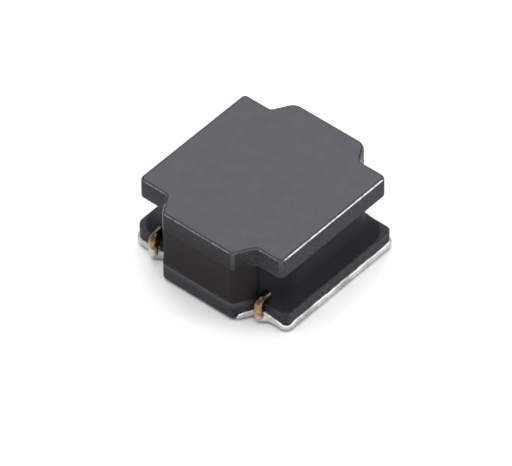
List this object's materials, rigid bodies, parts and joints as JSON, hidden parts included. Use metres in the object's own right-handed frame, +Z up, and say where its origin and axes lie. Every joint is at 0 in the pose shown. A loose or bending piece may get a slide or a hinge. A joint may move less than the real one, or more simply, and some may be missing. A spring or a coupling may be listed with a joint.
{
  "type": "shielded surface-mount power inductor",
  "caption": "Low square ferrite drum core with copper wire under a dark resin shield, notched sides, and two soldered terminal strips underneath.",
  "frame": {"origin": "middle of the footprint, on the plane of the solder undersides", "axes": "+Z up from the board, +X from one terminal to the other, and both wire ends come out on the -Y side"},
  "size_m": [0.004, 0.004, 0.0018],
  "materials": {
    "ferrite": "semi-gloss",
    "copper": "enamelled",
    "resin": "matte",
    "silver": "matte",
    "solder": "satin"
  },
  "bodies": {
    "root": {"drum_core": "ferrite", "winding": "copper", "shield_resin": "resin", "silver_left": "silver", "silver_right": "silver", "solder_left": "solder", "solder_right": "solder"}
  },
  "joints": []
}
